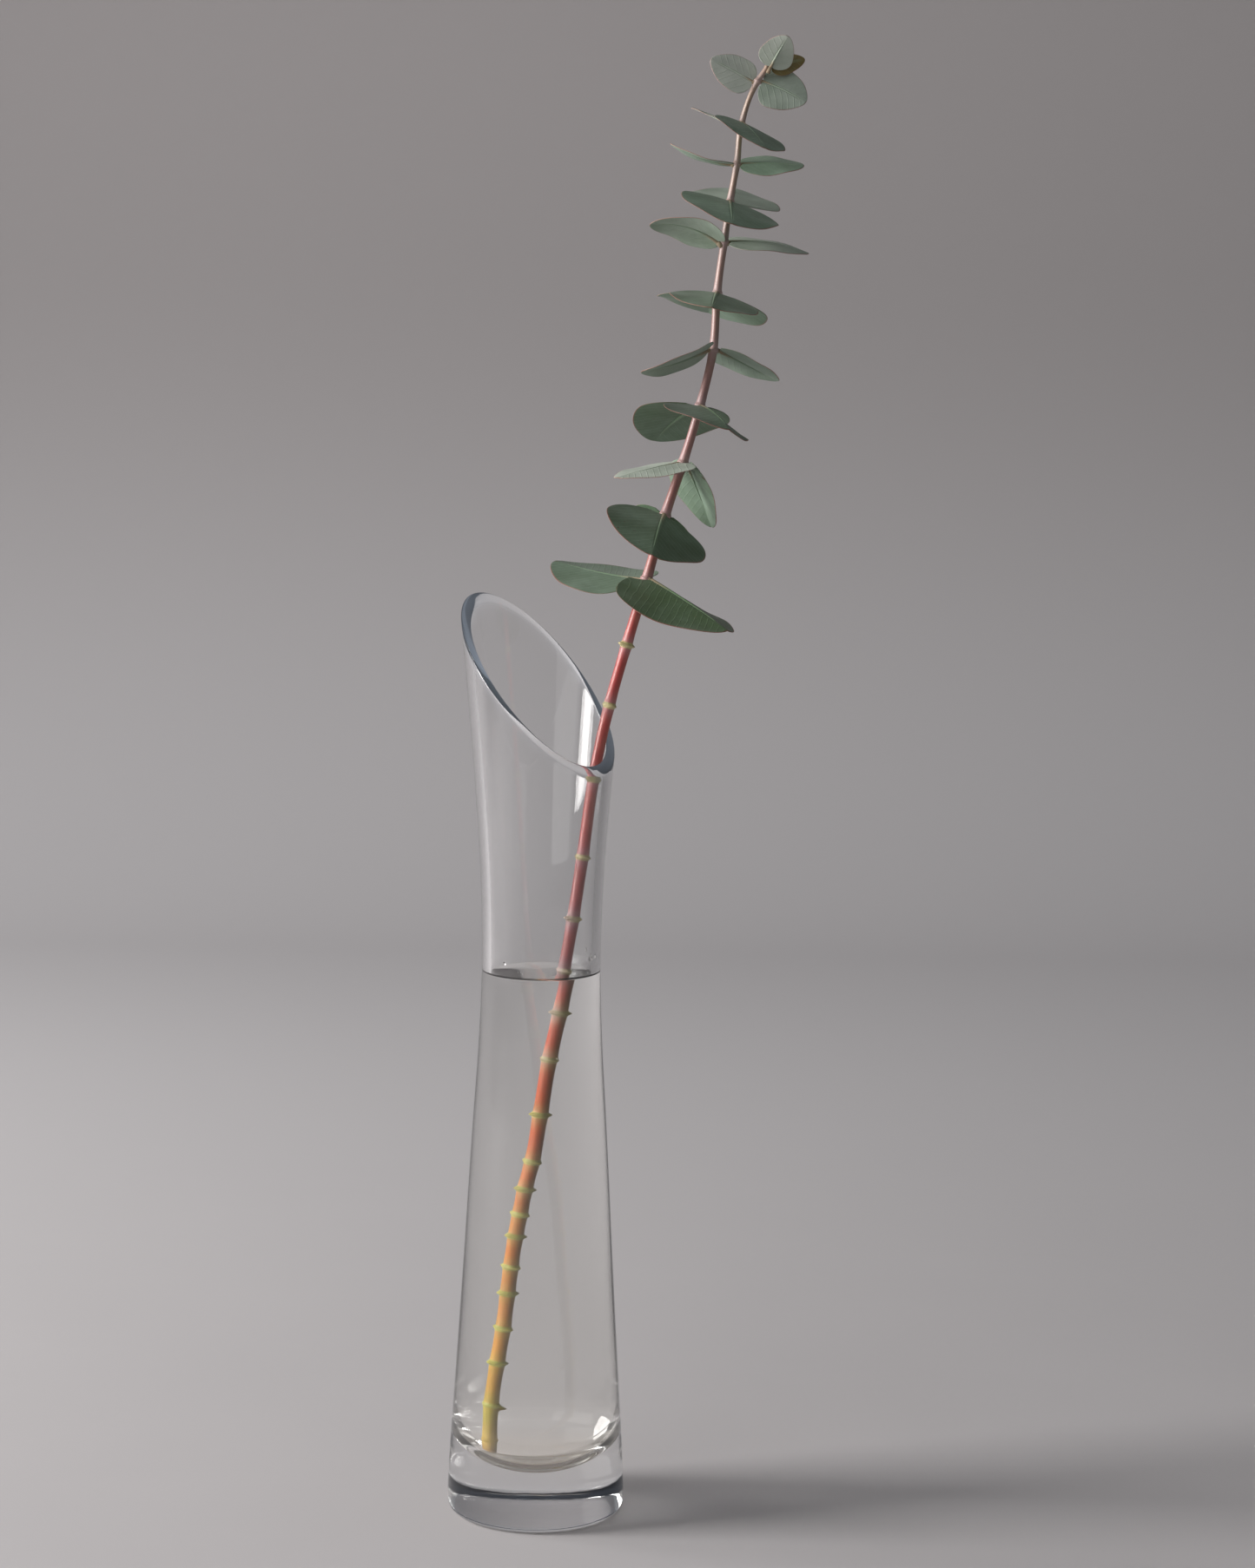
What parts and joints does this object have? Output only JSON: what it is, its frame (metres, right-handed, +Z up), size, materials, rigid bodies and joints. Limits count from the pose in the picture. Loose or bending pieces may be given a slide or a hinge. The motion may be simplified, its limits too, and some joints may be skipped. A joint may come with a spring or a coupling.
{
  "type": "baby blue eucalyptus stem in a glass vase",
  "caption": "Slender leafy eucalyptus stem standing in a slant-cut clear glass vase of water; decor for a table or shelf.",
  "frame": {"origin": "centre of the vase's flat foot, on the surface it stands on", "axes": "+Z up along the vase's axis, +X towards the side that the stem leans to, -Y towards the viewer"},
  "size_m": [0.1203, 0.066, 0.5158],
  "materials": {
    "glass": "clear polished blown glass, thick at the foot",
    "water": null,
    "stem": "smooth young shoot, red above, orange to yellow-green below, with a pale waxy bloom",
    "leaf": "matt blue-green leaf with a waxy bloom and a thin pink margin",
    "bud": "pale waxy grey-green bud"
  },
  "bodies": {
    "root": {"vase": "glass", "water": "water", "stem": "stem", "tip_bud": "bud", "leaf_01_right": "leaf", "leaf_01_left": "leaf", "leaf_02_front": "leaf", "leaf_02_back": "leaf", "leaf_03_left": "leaf", "leaf_03_right": "leaf", "leaf_04_front": "leaf", "leaf_04_back": "leaf", "leaf_05_left": "leaf", "leaf_05_right": "leaf", "leaf_06_front": "leaf", "leaf_06_back": "leaf", "leaf_07_left": "leaf", "leaf_07_right": "leaf", "leaf_08_front": "leaf", "leaf_08_back": "leaf", "leaf_09_left": "leaf", "leaf_09_right": "leaf", "leaf_10_front": "leaf", "leaf_10_back": "leaf", "leaf_11_left": "leaf", "leaf_11_right": "leaf", "leaf_12_front": "leaf", "leaf_12_back": "leaf"}
  },
  "joints": []
}
